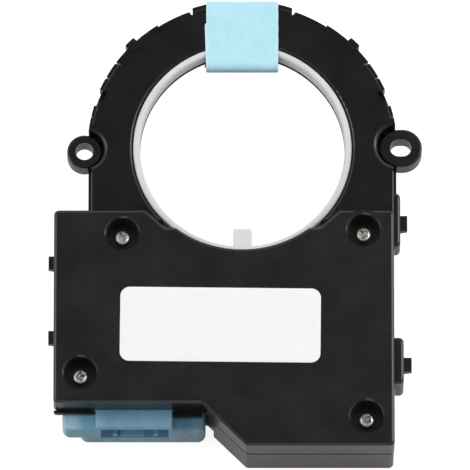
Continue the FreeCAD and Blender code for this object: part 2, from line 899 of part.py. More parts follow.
def make_measuring_gear(place, teeth, angle):
    """Small gear with a hub that holds a magnet in its end and turns in the tray."""
    gear = prism(gear_face(teeth, meshing_tooth(teeth, angle)), measuring_bottom, measuring_top)
    hub = cylinder(0, 0, hub_bottom, measuring_top, hub_radius)
    gear = fused([gear, hub])
    pocket_radius = magnet_diameter / 2 + magnet_clearance
    pocket = cylinder(0, 0, hub_bottom - 1, hub_bottom + magnet_thickness, pocket_radius)
    bearing_low = measuring_top - post_depth - post_end_clearance
    bearing = cylinder(0, 0, bearing_low, measuring_top + 1, post_radius + post_clearance)
    gear = gear.cut(pocket).cut(bearing)
    gear.translate(Vector(place[0], place[1], 0))
    return gear


def make_magnet(place):
    """Round magnet in the end of a measuring gear."""
    magnet = cylinder(place[0], place[1], hub_bottom, hub_bottom + magnet_thickness, magnet_diameter / 2)
    return magnet.makeChamfer(magnet_chamfer, edges_at(magnet, hub_bottom))


def cross_recess(top):
    """Cross-shaped recess of a screw head, narrower towards its floor."""
    arms = []
    for turn in (0, 90):
        half = cross_width / 2
        wide = cross_length / 2
        narrow = cross_floor_length / 2
        profile = [
            Vector(-wide, -half, top),
            Vector(wide, -half, top),
            Vector(narrow, -half, top - cross_depth),
            Vector(-narrow, -half, top - cross_depth),
        ]
        arm = Part.Face(Part.makePolygon(profile + profile[:1])).extrude(Vector(0, cross_width, 0))
        arm.rotate(Vector(0, 0, 0), Vector(0, 0, 1), turn)
        arms.append(arm)
    return fused(arms)


def make_screw(x, y, turn):
    """Pan head screw with a cross recess and a pointed shank."""
    head_top = well_bottom + screw_head_height
    head = cylinder(0, 0, well_bottom, head_top, screw_head_diameter / 2)
    head = head.makeFillet(screw_head_dome, edges_at(head, head_top))
    radius = screw_shank_diameter / 2
    shank = cylinder(0, 0, well_bottom - screw_length + screw_point, well_bottom, radius)
    tip = Vector(0, 0, well_bottom - screw_length)
    point = Part.makeCone(screw_point_radius, radius, screw_point, tip)
    screw = fused([head, shank, point]).cut(cross_recess(head_top))
    screw.rotate(Vector(0, 0, 0), Vector(0, 0, 1), turn)
    screw.translate(Vector(x, y, 0))
    return screw


def make_cover_screws():
    """The four cover screws, each turned as it was left."""
    screws = [make_screw(*place, turn) for place, turn in zip(screw_places, screw_turns)]
    return Part.makeCompound(screws)


def board_face(margin, arc_radius):
    """Outline of a plate inside the case, clear of the walls, the bore and the connector."""
    face = inset(base_case_face(), case_wall + margin)
    arc = Part.Face(Part.Wire(Part.makeCircle(arc_radius)))
    room_back = connector_back + board_setback
    room_right = connector_right + board_setback
    corner = polygon([
        (base_left - 1, room_back),
        (room_right, room_back),
        (room_right, case_bottom - 1),
        (base_left - 1, case_bottom - 1),
    ])
    step_right = corner_step_x + case_wall + margin
    step_back = connector_edge + base_inset + case_wall + margin
    step = polygon([
        (slant_left, step_back),
        (step_right, step_back),
        (step_right, case_bottom - 1),
        (slant_left, case_bottom - 1),
    ])
    return face.cut(arc).cut(corner).cut(step)


def make_circuit_board():
    """Board that carries the chips, with cut-outs for the bosses, pegs and pins."""
    face = board_face(board_clearance, bore_radius + case_wall + board_clearance)
    board = prism(face.Faces[0], board_bottom, board_top)
    low = board_bottom - 1
    high = board_top + 1
    for x, y in screw_places:
        board = board.cut(cylinder(x, y, low, high, boss_radius + board_clearance))
    for x, y in peg_places:
        board = board.cut(cylinder(x, y, low, high, peg_diameter / 2))
    half = pin_width / 2
    for x, z, bend in pin_places():
        y = connector_back + bend
        board = board.cut(box(x - half, y - half, low, x + half, y + half, high))
    return board


def make_gear_tray():
    """Tray that stands on the board on four legs and carries the hubs of the gears."""
    face = board_face(tray_clearance, gear_room + tray_clearance).Faces[0]
    plate = prism(face, tray_bottom, tray_top)
    trim = box(base_left, case_bottom, tray_bottom - 1, base_right, tray_bottom_edge, tray_top + 1)
    plate = plate.cut(trim)
    legs = [cylinder(x, y, board_top, tray_bottom, tray_leg_diameter / 2) for x, y in tray_places]
    tray = fused([plate] + legs)
    for x, y in screw_places:
        tray = tray.cut(cylinder(x, y, tray_bottom - 1, tray_top + 1, boss_radius + tray_clearance))
    for x, y in gear_places():
        tray = tray.cut(cylinder(x, y, tray_bottom - 1, tray_top + 1, hub_radius + hub_clearance))
    return tray


def connector_outline():
    """Front view of the connector as a face in the X-Z plane: the left corner is cut away below."""
    step_right = connector_left + connector_left_width
    step_top = connector_base + connector_left_step
    points = [
        (connector_left, connector_top),
        (connector_right, connector_top),
        (connector_right, connector_base),
        (step_right, connector_base),
        (step_right, step_top),
        (connector_left, step_top),
    ]
    corners = [Vector(x, connector_front, z) for x, z in points]
    return Part.Face(Part.makePolygon(corners + corners[:1]))


def make_connector_shell():
    """Connector shell: flange, neck through the case window, raised block, socket with its keys."""
    wall_front = connector_edge + base_inset
    gap = connector_clearance
    flange_back = wall_front - gap
    flange = connector_outline().extrude(Vector(0, flange_back - connector_front, 0))
    front_corners = [e for e in upright_edges(flange) if e.BoundBox.YMax < connector_front + 1e-4]
    flange = flange.makeFillet(connector_corner_radius, front_corners)
    top_edges = [e for e in edges_at(flange, connector_top) if e.BoundBox.YMin < flange_back - 1e-4]
    flange = flange.makeFillet(connector_edge_radius, top_edges)
    neck_right = connector_right - gap
    neck = box(neck_left, flange_back, connector_base, neck_right, connector_back, parting - gap)
    block_back = connector_edge + cover_wall / 2
    block_low = connector_base + connector_left_step
    block = box(block_left, connector_front, block_low, block_right, block_back, block_top)
    block_edges = [e for e in edges_at(block, block_top) if e.BoundBox.YMin < block_back - 1e-4]
    block = block.makeFillet(block_edge_radius, block_edges)
    shell = fused([flange, neck, block])
    back = connector_front + socket_depth
    shell = shell.cut(box(socket_left, connector_front - 1, socket_base, socket_right, back, socket_top))
    key_front = connector_front + key_setback
    key_low = socket_base - key_root
    ribs = [box(left, key_front, key_low, right, back, socket_base + rise) for left, right, rise in keys]
    shell = fused([shell] + ribs)
    half = pin_width / 2
    for x, z, bend in pin_places():
        shell = shell.cut(box(x - half, back - 1, z - half, x + half, connector_back + 1, z + half))
    return shell


def pin_places():
    """Centre X, height and bend distance of every connector pin."""
    middle = (socket_left + socket_right) / 2
    places = []
    for height, bend in zip(pin_rows, reversed(pin_bend)):
        for column in range(pin_columns):
            x = middle + (column - (pin_columns - 1) / 2) * pin_pitch
            places.append((x, height, bend))
    return places


def make_pin(x, height, bend):
    """Square pin that runs back out of the socket and bends down through the board."""
    half = pin_width / 2
    back = connector_front + socket_depth
    tip = back - pin_reach
    turn = connector_back + bend
    run = box(x - half, tip, height - half, x + half, turn + half, height + half)
    tip_edges = [e for e in run.Edges if e.BoundBox.YMax < tip + 1e-4]
    run = run.makeChamfer(pin_width / 4, tip_edges)
    drop = box(x - half, turn - half, board_bottom - pin_tail, x + half, turn + half, height)
    pin = fused([run, drop])
    corner = [e for e in edges_at(pin, height + half) if e.BoundBox.YMin > turn + half - 1e-4]
    return pin.makeFillet(pin_width / 2, corner)


def make_chip(place, size, leads):
    """Chip body on the board with a row of leads along each long side."""
    x, y = place
    width, length, height = size
    low = board_top
    left = x - width / 2
    right = x + width / 2
    front = y - length / 2
    body = box(left, front, low + lead_thickness / 2, right, front + length, low + height)
    body = body.makeChamfer(chip_chamfer, edges_at(body, low + height))
    pieces = [body]
    half = lead_width / 2
    for index in range(leads):
        centre = front + (index + 0.5) * length / leads
        ends = (left - lead_reach, right + lead_reach)
        pieces.append(box(ends[0], centre - half, low, ends[1], centre + half, low + lead_thickness))
    return fused(pieces)


def make_block_part(place, size):
    """Plain surface-mounted part such as a capacitor or a resonator."""
    x, y = place
    width, length, height = size
    left = x - width / 2
    front = y - length / 2
    top = board_top + height
    body = box(left, front, board_top, left + width, front + length, top)
    return body.makeChamfer(small_part_chamfer, edges_at(body, top))


def make_electrolytic():
    """Round can capacitor on a square foot."""
    x, y = electrolytic_place
    half = electrolytic_radius + foot_margin
    top = board_top + electrolytic_height
    foot = box(x - half, y - half, board_top, x + half, y + half, board_top + foot_height)
    can = cylinder(x, y, board_top, top, electrolytic_radius)
    can = can.makeFillet(electrolytic_edge_radius, edges_at(can, top))
    return fused([foot, can])


def make_label():
    """Rounded label, set down a little askew on the cover."""
    half_width = label_width / 2
    half_height = label_height / 2
    top = case_height + label_thickness
    label = box(-half_width, -half_height, case_height, half_width, half_height, top)
    label = label.makeFillet(label_corner_radius, upright_edges(label))
    label.rotate(Vector(0, 0, 0), Vector(0, 0, 1), label_turn)
    label.translate(Vector(label_centre[0], label_centre[1], 0))
    return label


def tape_section():
    """Section of the filled tape loop in the Y-Z plane: its inner side leans back below."""
    low = ring_bottom - tape_slack - tape_thickness
    high = ring_face + tape_thickness
    far = ring_radius + tape_rim_gap + tape_thickness
    points = [(tape_fold_y, high), (far, high), (far, low), (tape_foot_y, low)]
    corners = [Vector(tape_left, y, z) for y, z in points]
    return Part.Face(Part.makePolygon(corners + corners[:1]))


def tape_block(section, fold_radius, corner_radius):
    """Filled tape loop with a wide fold in the bore and tight other corners."""
    block = section.extrude(Vector(tape_right - tape_left, 0, 0))
    across = [e for e in block.Edges if e.BoundBox.XLength > 1]
    across.sort(key=lambda edge: edge.BoundBox.YMin)
    block = block.makeFillet(corner_radius, across[1:])
    across = [e for e in block.Edges if e.BoundBox.XLength > 1]
    across.sort(key=lambda edge: edge.BoundBox.YMin)
    return block.makeFillet(fold_radius, across[:1])


def make_transit_tape():
    """Tape wrapped once round the top of the ring, through the bore."""
    t = tape_thickness
    outside = tape_block(tape_section(), tape_fold_radius, tape_corner_radius)
    inside = tape_block(inset(tape_section(), t), tape_fold_radius - t, tape_corner_radius - t)
    return outside.cut(inside)


def main():
    """Build every piece and write it out."""
    os.makedirs("parts", exist_ok=True)
    save(make_rear_case(), "rear_case")
    save(make_front_cover(), "front_cover")
    save(make_rotor(), "rotor")
    names = ("measuring_gear_a", "measuring_gear_b")
    for name, place, teeth, angle in zip(names, gear_places(), measuring_teeth, measuring_angles):
        save(make_measuring_gear(place, teeth, angle), name)
    for name, place in zip(("magnet_a", "magnet_b"), gear_places()):
        save(make_magnet(place), name)
    save(make_gear_tray(), "gear_tray")
    save(make_circuit_board(), "circuit_board")
    for name, place in zip(("angle_chip_a", "angle_chip_b"), gear_places()):
        save(make_chip(place, sensor_chip_size, 7), name)
    save(make_chip(controller_place, controller_size, 8), "controller_chip")
    save(make_chip(transceiver_place, transceiver_size, 4), "bus_chip")
    save(make_chip(regulator_place, regulator_size, 3), "voltage_regulator")
    save(make_block_part(resonator_place, resonator_size), "resonator")
    for index, place in enumerate(capacitor_places, start=1):
        save(make_block_part(place, capacitor_size), "capacitor_%d" % index)
    save(make_electrolytic(), "supply_capacitor")
    save(make_connector_shell(), "connector_shell")
    for index, place in enumerate(pin_places(), start=1):
        save(make_pin(*place), "connector_pin_%d" % index)
    save(make_cover_screws(), "cover_screws")
    save(make_label(), "label")
    save(make_transit_tape(), "transit_tape")


main()
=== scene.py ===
# %% [markdown]
# # A steering angle sensor, dressed for its picture
# The part is a flat black box with a ring on top. On a car the steering shaft passes through the
# ring, a white rotor in the ring turns with the shaft, and two small gears in the box measure how
# far it has gone. The solid model gives every wall and screw its place, so this lesson only adds
# what a solid model can't say: how each surface looks, and the thin things that are easier to
# draw as surfaces than as solids. It begins by loading the solids and keeping their outer box.

# %% Load the solids
import math

import bpy
import numpy as np
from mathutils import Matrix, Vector


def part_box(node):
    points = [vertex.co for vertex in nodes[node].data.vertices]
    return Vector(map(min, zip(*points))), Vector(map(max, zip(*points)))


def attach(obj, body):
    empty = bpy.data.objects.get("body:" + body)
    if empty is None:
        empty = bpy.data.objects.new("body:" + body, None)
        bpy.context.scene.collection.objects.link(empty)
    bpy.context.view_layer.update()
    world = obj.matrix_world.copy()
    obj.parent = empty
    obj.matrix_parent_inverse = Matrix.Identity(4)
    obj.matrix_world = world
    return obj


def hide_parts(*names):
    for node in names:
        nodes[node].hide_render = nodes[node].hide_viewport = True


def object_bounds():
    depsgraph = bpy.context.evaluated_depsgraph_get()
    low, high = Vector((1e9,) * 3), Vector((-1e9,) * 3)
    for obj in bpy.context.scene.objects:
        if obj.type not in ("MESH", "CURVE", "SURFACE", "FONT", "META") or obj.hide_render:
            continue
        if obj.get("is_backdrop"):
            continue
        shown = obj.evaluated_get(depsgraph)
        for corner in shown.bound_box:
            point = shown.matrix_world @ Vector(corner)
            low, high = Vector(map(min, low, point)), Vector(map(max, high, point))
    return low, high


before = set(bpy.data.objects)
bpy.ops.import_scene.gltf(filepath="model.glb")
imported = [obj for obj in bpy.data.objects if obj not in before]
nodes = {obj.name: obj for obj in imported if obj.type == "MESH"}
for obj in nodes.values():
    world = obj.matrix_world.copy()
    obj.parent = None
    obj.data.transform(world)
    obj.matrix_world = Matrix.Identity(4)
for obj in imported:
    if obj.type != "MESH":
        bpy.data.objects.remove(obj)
solid_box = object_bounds()

# %% [markdown]
# ## The camera
# The picture was taken from far away and nearly straight above, leaning a little towards the
# connector, because the lower walls show and the upper ones don't. A long lens three metres off
# gives the same flat look. The angle comes from comparing the heights of the case with how far
# their edges sit apart in the picture.

# %% Camera at the picture's angle
MM = 0.001
picture_tilt = math.radians(17.6)
picture_distance = 3.0
picture_pixels = 470
focal_pixels = 12000
film_width = 36.0
looked_at = Vector((-1.85, -22.92, 17.4)) * MM

lens = bpy.data.cameras.new("picture_camera")
lens.sensor_width = film_width
lens.lens = film_width * focal_pixels / picture_pixels
camera = bpy.data.objects.new("picture_camera", lens)
towards_camera = Vector((0, -math.sin(picture_tilt), math.cos(picture_tilt)))
camera.location = looked_at + towards_camera * picture_distance
camera.rotation_euler = (picture_tilt, 0, 0)
bpy.context.scene.collection.objects.link(camera)
bpy.context.scene.camera = camera
bpy.context.scene.view_settings.view_transform = "Standard"
print("camera stands at", [round(x, 3) for x in camera.location], "lens", round(lens.lens))

# %% [markdown]
# ## Small tools for finishes
# Every finish is a material made of nodes. A few short helpers keep the recipes readable: one
# starts a finish with the values that are the same all over, one adds a node and feeds it, and
# one does a step of arithmetic. The second cell holds the everyday patterns: noise, a tone between
# two colours, a number between two limits, and a fine relief.

# %% Tools for finishes
def new_finish(name, **constants):
    """Material whose shader gets the given constant values; an underscore stands for a space."""
    material = bpy.data.materials.new(name)
    material.use_nodes = True
    shader = material.node_tree.nodes["Principled BSDF"]
    for socket, value in constants.items():
        shader.inputs[socket.replace("_", " ")].default_value = value
    return material


def fill_input(tree, socket, value):
    """Give an input a constant, or join it to another node's output."""
    if isinstance(value, bpy.types.NodeSocket):
        tree.links.new(value, socket)
    else:
        socket.default_value = value


def add_node(material, kind, **inputs):
    """New node whose inputs are constants or other nodes' outputs."""
    tree = material.node_tree
    node = tree.nodes.new("ShaderNode" + kind)
    for name, value in inputs.items():
        fill_input(tree, node.inputs[name.replace("_", " ")], value)
    return node


def arithmetic(tree, operation, *values):
    """One step of arithmetic; each value is a number or another node's output."""
    node = tree.nodes.new("ShaderNodeMath")
    node.operation = operation
    for socket, value in zip(node.inputs, values):
        fill_input(tree, socket, value)
    return node.outputs[0]


def feed_shader(material, socket, value):
    """Join an output to the shader."""
    shader = material.node_tree.nodes["Principled BSDF"]
    material.node_tree.links.new(value, shader.inputs[socket])


# %% Patterns that the finishes share
def place_on(material, stretch=(1, 1, 1)):
    """The point on the object in metres, with each axis multiplied by its stretch."""
    here = add_node(material, "TexCoord").outputs["Object"]
    return add_node(material, "Mapping", Vector=here, Scale=stretch).outputs["Vector"]


def grain(material, size_mm, detail=2.0, stretch=(1, 1, 1)):
    """Cloudy noise from 0 to 1 whose spots are about size_mm across."""
    place = place_on(material, stretch)
    noise = add_node(material, "TexNoise", Vector=place, Scale=1000.0 / size_mm, Detail=detail)
    return noise.outputs["Fac"]


def tone(material, amount, dark, light, low=0.35, high=0.65):
    """Colour that goes from dark to light as the amount goes from low to high."""
    ramp = add_node(material, "ValToRGB", Fac=amount)
    ends = ramp.color_ramp.elements
    ends[0].position, ends[1].position = low, high
    ends[0].color, ends[1].color = (*dark, 1), (*light, 1)
    return ramp.outputs["Color"]


def level(material, amount, least, most, low=0.3, high=0.7):
    """Number that goes from least to most as the amount goes from low to high."""
    limits = {"From_Min": low, "From_Max": high, "To_Min": least, "To_Max": most}
    return add_node(material, "MapRange", Value=amount, **limits).outputs["Result"]


def relief(material, height, depth_mm, under=None):
    """Tiny ups and downs of the surface, on top of another relief if there is one."""
    below = {} if under is None else {"Normal": under}
    bump = add_node(material, "Bump", Height=height, Distance=depth_mm * MM, Strength=1.0, **below)
    return bump.outputs["Normal"]


# %% [markdown]
# ## Floor and light
# The picture has a plain white ground with no hard shadow. A real studio gets that from a bright
# table and large soft lights. Here the floor is a pale matt sheet that also glows, fully for rays
# from the camera and a little for rays from a reflection, so it reads as white while the sensor
# keeps its faint shadow and the glossy walls stay dark. Seen from below the sheet is clear, so
# that the underside can be looked at too.

# %% Floor
def make_floor(half_width=3.0, gap=0.05 * MM):
    """Flat square, a small gap below the case so that the two never share a plane."""
    h = half_width
    mesh = bpy.data.meshes.new("floor")
    corners = [(-h, -h, -gap), (h, -h, -gap), (h, h, -gap), (-h, h, -gap)]
    mesh.from_pydata(corners, [], [(0, 1, 2, 3)])
    floor = bpy.data.objects.new("floor", mesh)
    bpy.context.scene.collection.objects.link(floor)
    return floor


def glow_strength(material, camera=0.85, mirror=0.28):
    """One strength for rays from the camera or through clear plastic, another for reflected rays."""
    path = add_node(material, "LightPath").outputs
    tree = material.node_tree
    straight = arithmetic(tree, "MAXIMUM", path["Is Camera Ray"], path["Is Transmission Ray"])
    direct = arithmetic(tree, "MULTIPLY", straight, camera)
    return arithmetic(tree, "MULTIPLY_ADD", path["Is Glossy Ray"], mirror, direct)


def floor_finish():
    """Pale matt sheet with a glow for the rays that are seen, clear from below."""
    material = new_finish("floor_sheet", Roughness=0.9)
    spots = grain(material, 400)
    feed_shader(material, "Base Color", tone(material, spots, (0.4, 0.4, 0.4), (0.42, 0.42, 0.42)))
    feed_shader(material, "Emission Strength", glow_strength(material))
    tree = material.node_tree
    shader = tree.nodes["Principled BSDF"]
    shader.inputs["Emission Color"].default_value = (1, 1, 1, 1)
    behind = add_node(material, "NewGeometry").outputs["Backfacing"]
    clear = add_node(material, "BsdfTransparent").outputs[0]
    choose = add_node(material, "MixShader", Fac=behind)
    tree.links.new(shader.outputs[0], choose.inputs[1])
    tree.links.new(clear, choose.inputs[2])
    tree.links.new(choose.outputs[0], tree.nodes["Material Output"].inputs["Surface"])
    return material


floor = make_floor()
floor.data.materials.append(floor_finish())
floor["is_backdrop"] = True
print("floor is", round(floor.dimensions.x, 1), "m wide")

# %% [markdown]
# ## Sky and lamps
# The top of the case is a black mirror that looks nearly straight up, and its rounded edges look
# at the walls of the room. In the picture the top is dark and the edges are drawn with thin pale
# lines, so the sky is dim only overhead and bright all round below that. It fades towards the
# front, where the lower walls look. A soft lamp on the left, a tall one on the right and a weak
# low one in front draw the other edges and give the white bore its shape.

# %% Sky
def make_sky(overhead=0.21, around=0.96, front=0.85, dim_above=0.92, fade=0.08):
    """Sky that the camera sees as white: (overhead + (around - overhead) * a) * (1 - front * b).

    With z the sine of the height above the horizon and y how far the direction leans to the rear,
    a is (dim_above - z) / fade and b is -y, both held between 0 and 1.
    """
    world = bpy.data.worlds.new("sky")
    world.use_nodes = True
    bpy.context.scene.world = world
    tree = world.node_tree
    background = tree.nodes["Background"]
    background.inputs["Color"].default_value = (1, 1, 1, 1)
    place = tree.nodes.new("ShaderNodeSeparateXYZ")
    tree.links.new(tree.nodes.new("ShaderNodeTexCoord").outputs["Generated"], place.inputs[0])
    a = arithmetic(tree, "MULTIPLY_ADD", place.outputs["Z"], -1 / fade, dim_above / fade)
    a = arithmetic(tree, "MINIMUM", arithmetic(tree, "MAXIMUM", a, 0.0), 1.0)
    wide = arithmetic(tree, "MULTIPLY_ADD", a, around - overhead, overhead)
    minus_b = arithmetic(tree, "MINIMUM", place.outputs["Y"], 0.0)
    dimmed = arithmetic(tree, "MULTIPLY_ADD", minus_b, front, 1.0)
    strength = arithmetic(tree, "MULTIPLY", wide, dimmed)
    camera_ray = tree.nodes.new("ShaderNodeLightPath").outputs["Is Camera Ray"]
    tree.links.new(arithmetic(tree, "MAXIMUM", camera_ray, strength), background.inputs["Strength"])


make_sky()
print("sky:", bpy.context.scene.world.name)

# %% Lamps
def make_lamp(name, place, watts, width, height):
    """Soft lamp at a place in metres, turned to the case; its height stands upright."""
    light = bpy.data.lights.new(name, "AREA")
    light.shape = "RECTANGLE"
    light.energy, light.size, light.size_y = watts, width, height
    lamp = bpy.data.objects.new(name, light)
    lamp.location = place
    lamp.rotation_euler = (looked_at - Vector(place)).to_track_quat("-Z", "Y").to_euler()
    bpy.context.scene.collection.objects.link(lamp)


make_lamp("left_lamp", (-1.15, 0.1, 0.95), 5.0, 0.8, 0.8)
make_lamp("right_lamp", (1.15, 0.35, 0.8), 8.0, 0.5, 1.8)
make_lamp("front_lamp", (-0.2, -1.3, 0.5), 2.2, 0.8, 0.8)

# %% [markdown]
# ## Black glossy plastic
# Both shells are moulded in a hard black plastic. It is nearly a mirror, but the mould leaves a
# faint cloudy texture, and handling leaves fine scuffs. Nearly all of what the eye sees is
# reflection, so the colour stays close to black and the work goes into roughness: a coarse cloud
# for the mould, long thin streaks for scuffs, and a grain so fine that it only softens the shine.

# %% Two tools for finishes that change along a piece
def blend(material, share, first, second):
    """Colour that goes from the first to the second as the share goes from 0 to 1."""
    mix = add_node(material, "Mix")
    mix.data_type = "RGBA"
    for socket, value in ((0, share), (6, first), (7, second)):
        fill_input(material.node_tree, mix.inputs[socket], value)
    return mix.outputs[2]


def distances(material):
    """How far a point lies along X, Y and Z of the object, in metres."""
    return add_node(material, "SeparateXYZ", Vector=place_on(material)).outputs


lid_rear = -17.4
print("the lid ends and the ring begins at Y mm:", lid_rear)

# %% Black plastic finish
def black_plastic(name, shine, spread=0.03):
    """Dark base, darker on the ring, cloudy roughness about the shine, scuffs and a fine relief."""
    material = new_finish(name, IOR=1.5)
    cloud = grain(material, 9.0, 4.0)
    lid = tone(material, cloud, (0.0075, 0.0075, 0.0085), (0.0125, 0.0125, 0.0135))
    ring = tone(material, cloud, (0.0022, 0.0022, 0.0027), (0.0050, 0.0050, 0.0056))
    low, high = (lid_rear - 0.2) * MM, (lid_rear + 0.2) * MM
    on_ring = level(material, distances(material)["Y"], 0.0, 1.0, low, high)
    feed_shader(material, "Base Color", blend(material, on_ring, lid, ring))
    scuff = grain(material, 1.6, 5.0, (0.25, 1.7, 1.0))
    handled = arithmetic(material.node_tree, "MULTIPLY", cloud, scuff)
    rough = level(material, handled, shine - spread, shine + spread, 0.12, 0.42)
    feed_shader(material, "Roughness", rough)
    fine = relief(material, grain(material, 0.22, 1.0), 0.0012)
    feed_shader(material, "Normal", relief(material, grain(material, 6.0, 1.0), 0.006, fine))
    return material


def dress(node_name, material):
    """Put a finish on a solid by its material slots."""
    for place in nodes[node_name].material_slots:
        place.material = material


dress("front_cover", black_plastic("cover_plastic", 0.22))
dress("rear_case", black_plastic("case_plastic", 0.26))
print("shells dressed")

# %% [markdown]
# ## White plastic of the rotor and the gears
# The rotor and the small gears are moulded in a slippery milky plastic. A little light enters it
# and comes out again, which makes it look soft, and the long mould leaves rings round the bore.
# Noise that is stretched along the surface and squeezed along the axis draws those rings.

# %% Milky plastic finish
tab_reach, wall_reach = 25.0, 25.4


def milky_plastic(name, dark, light, wall_factor=1.0):
    """Pale base with thin rings across the axis, darker by a given factor on the rotor's wall.

    The wall lies at wall_reach and more from the shaft, in millimetres. The drive tab stands nearer
    to the shaft, within tab_reach, and keeps the full tone.
    """
    material = new_finish(name, Roughness=0.38, IOR=1.48, Subsurface_Weight=0.12, Subsurface_Scale=0.0008)
    rings = grain(material, 1.0, 3.0, (0.03, 0.03, 3.2))
    reach = add_node(material, "VectorMath", Vector=place_on(material, (1, 1, 0)))
    reach.operation = "LENGTH"
    wall = level(material, reach.outputs["Value"], 0.0, 1.0, tab_reach * MM, wall_reach * MM)
    thick = tone(material, rings, dark, light)
    # The wall takes the tone scaled by the given factor, the tab the full tone.
    wall_tone = tone(material, rings, [c * wall_factor for c in dark], [c * wall_factor for c in light])
    feed_shader(material, "Base Color", blend(material, wall, thick, wall_tone))
    fine = relief(material, grain(material, 0.3, 2.0), 0.0015)
    feed_shader(material, "Normal", relief(material, rings, 0.008, fine))
    return material


dress("rotor", milky_plastic("rotor_plastic", (0.74, 0.74, 0.75), (0.88, 0.88, 0.89), 0.89))
for gear in ("measuring_gear_a", "measuring_gear_b"):
    dress(gear, milky_plastic(gear + "_plastic", (0.66, 0.65, 0.61), (0.76, 0.75, 0.71)))
print("white pieces dressed")

# %% [markdown]
# ## Blue connector plastic
# The connector shell is moulded in a grey blue plastic that tells it from other plugs. It is
# softer looking than the black one, and a little light passes through it. A paler tone is a painted
# highlight on the end block on the left and along the left rim of the middle block, a darker one is
# painted shade on the front face, and the darkest is painted shade over the hollow on the right,
# where the hollow also shows through. Each of these is one tone, and shares along X and Y mix them.

# %% Where the connector gets painted highlights and painted shade
# Spans in millimetres of the painted highlights on the end block and block rim, and of the painted shade
# over the hollow.
end_block = (-42.0, -39.8)
block_rim = -35.7
hollow_from = (-17.8, -17.2)
connector_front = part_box("connector_shell")[0][1]


def painted_highlight_share(material, across):
    """Share from 0 to 1 of the painted highlight tone: 0.85 on the end block, 0.42 along the rim, 0
    elsewhere.
    """
    tree = material.node_tree
    block = level(material, across, 0.85, 0.0, end_block[0] * MM, end_block[1] * MM)
    off_rim = arithmetic(tree, "ABSOLUTE", arithmetic(tree, "SUBTRACT", across, block_rim * MM))
    rim = level(material, off_rim, 0.42, 0.0, 0.4 * MM, 2.2 * MM)
    return arithmetic(tree, "MAXIMUM", block, rim)


print("connector front at Y mm:", round(connector_front / MM, 2))

# %% Connector finish
def blue_plastic():
    """Grey blue with broad patches: painted highlights where thin, painted shade on the front face and
    over the hollow.
    """
    material = new_finish("connector_plastic", IOR=1.5, Subsurface_Weight=0.06, Subsurface_Scale=0.0006)
    flow = grain(material, 5.0, 3.0, (1.0, 0.35, 0.6))
    # Second tone: painted highlight. Third: painted shade on the front face. Fourth: painted shade over
    # the hollow, which also shows through.
    thick, painted_highlight, front_painted_shade, hollow_painted_shade = (tone(material, flow, dark, light, 0.3, 0.72) for dark, light in (
        ((0.155, 0.37, 0.54), (0.25, 0.47, 0.62)),
        ((0.33, 0.56, 0.70), (0.42, 0.65, 0.77)),
        ((0.105, 0.27, 0.40), (0.175, 0.35, 0.47)),
        ((0.078, 0.190, 0.28), (0.165, 0.315, 0.42))))
    place = distances(material)
    # Shares of the painted shade on the front face, of the painted highlight, and of the painted shade
    # over the hollow.
    front_shade_share = level(material, place["Y"], 1.0, 0.0, connector_front + 0.1 * MM, connector_front + 0.8 * MM)
    over_hollow = level(material, place["X"], 0.0, 1.0, hollow_from[0] * MM, hollow_from[1] * MM)
    solid = blend(material, painted_highlight_share(material, place["X"]), thick, painted_highlight)
    solid = blend(material, front_shade_share, solid, front_painted_shade)
    feed_shader(material, "Base Color", blend(material, over_hollow, solid, hollow_painted_shade))
    feed_shader(material, "Roughness", level(material, grain(material, 2.0), 0.24, 0.4))
    feed_shader(material, "Normal", relief(material, grain(material, 0.3, 2.0), 0.002))
    return material


dress("connector_shell", blue_plastic())
print("connector dressed")

# %% [markdown]
# ## Surfaces from numbers
# The label, the tape and the screws are made below. Each is a grid of points worked out as whole
# arrays: rings stacked from the bottom to the top, or a small outline carried along a path. One
# function gives the grid its faces, one closes its ends, and one turns it into a mesh, where a
# signed volume tells whether the faces look outwards.

# %% Faces of a grid
def grid_faces(rows, columns):
    """Four-cornered faces between the rows of a grid whose columns close into a ring."""
    row = np.arange(rows - 1)[:, None]
    column = np.arange(columns)[None, :]
    up, on = row + 1, (column + 1) % columns
    corners = (row * columns + column, row * columns + on, up * columns + on, up * columns + column)
    return np.stack(np.broadcast_arrays(*corners), -1).reshape(-1, 4)


def closed_stack(rings):
    """Points and faces of rings stacked from first to last, each end closed by a middle point."""
    count, columns, _ = rings.shape
    points = np.concatenate([rings.reshape(-1, 3), rings[:1].mean(1), rings[-1:].mean(1)])
    first, last = count * columns, count * columns + 1
    here = np.arange(columns)
    on = (here + 1) % columns
    top = (count - 1) * columns
    low_fan = np.stack([np.full(columns, first), on, here], -1)
    high_fan = np.stack([np.full(columns, last), top + here, top + on], -1)
    return points, [grid_faces(count, columns), low_fan, high_fan]


print("a grid of 3 rings of 8 points has", len(grid_faces(3, 8)), "faces")

# %% From points and faces to a piece
def signed_volume(points, faces):
    """Volume inside the faces, positive when they look outwards.

    It is the sum of a . (b x c) / 6 over triangles with the corners a, b and c.
    """
    total = 0.0
    for block in faces:
        for k in range(2, block.shape[1]):
            a, b, c = points[block[:, 0]], points[block[:, k - 1]], points[block[:, k]]
            total += np.einsum("ij,ij->", a, np.cross(b, c)) / 6
    return total


def make_piece(name, points, faces, material, body, solid, sharp=35):
    """Mesh from points in millimetres that rides on a body, stands for a solid and takes its slot."""
    volume = signed_volume(points, faces)
    corners = [f for block in faces for f in (block if volume > 0 else block[:, ::-1]).tolist()]
    mesh = bpy.data.meshes.new(name)
    mesh.from_pydata((points * MM).tolist(), [], corners)
    mesh.shade_smooth()
    mesh.set_sharp_from_angle(angle=math.radians(sharp))
    mesh.materials.append(material)
    piece = bpy.data.objects.new(name, mesh)
    bpy.context.scene.collection.objects.link(piece)
    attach(piece, body)
    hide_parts(solid)
    print(name, "points:", len(points), "volume mm3:", round(abs(volume), 2))
    return piece


# %% [markdown]
# ## Places taken from the solids
# The pieces below stand for solids that are already there, so their places are measured on them.

